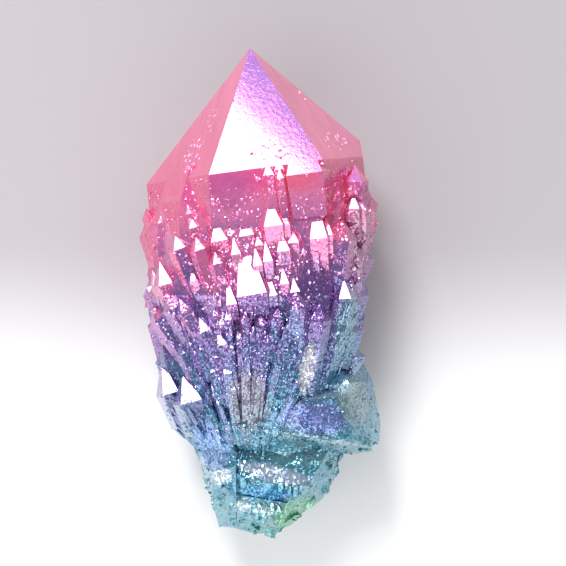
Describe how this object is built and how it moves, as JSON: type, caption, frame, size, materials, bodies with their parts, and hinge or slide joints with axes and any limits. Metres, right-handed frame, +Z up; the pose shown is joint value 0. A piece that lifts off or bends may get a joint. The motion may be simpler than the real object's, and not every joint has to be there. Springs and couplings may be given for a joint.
{
  "type": "aura quartz crystal",
  "caption": "Single terminated quartz crystal with shingled parallel points over its flanks and a broken root, coated pink to teal, lying on a flat prism face.",
  "frame": {"origin": "middle of the crystal's box, on the surface it lies on", "axes": "+Y from the broken root to the tip, +X across, +Z up from the surface it lies on"},
  "size_m": [0.0342, 0.0698, 0.0301],
  "materials": {
    "coated_quartz": "clear quartz under a thin pearly metal film, pink at the tip through violet and blue to teal at the root"
  },
  "bodies": {
    "root": {"crystal": "coated_quartz"}
  },
  "joints": []
}
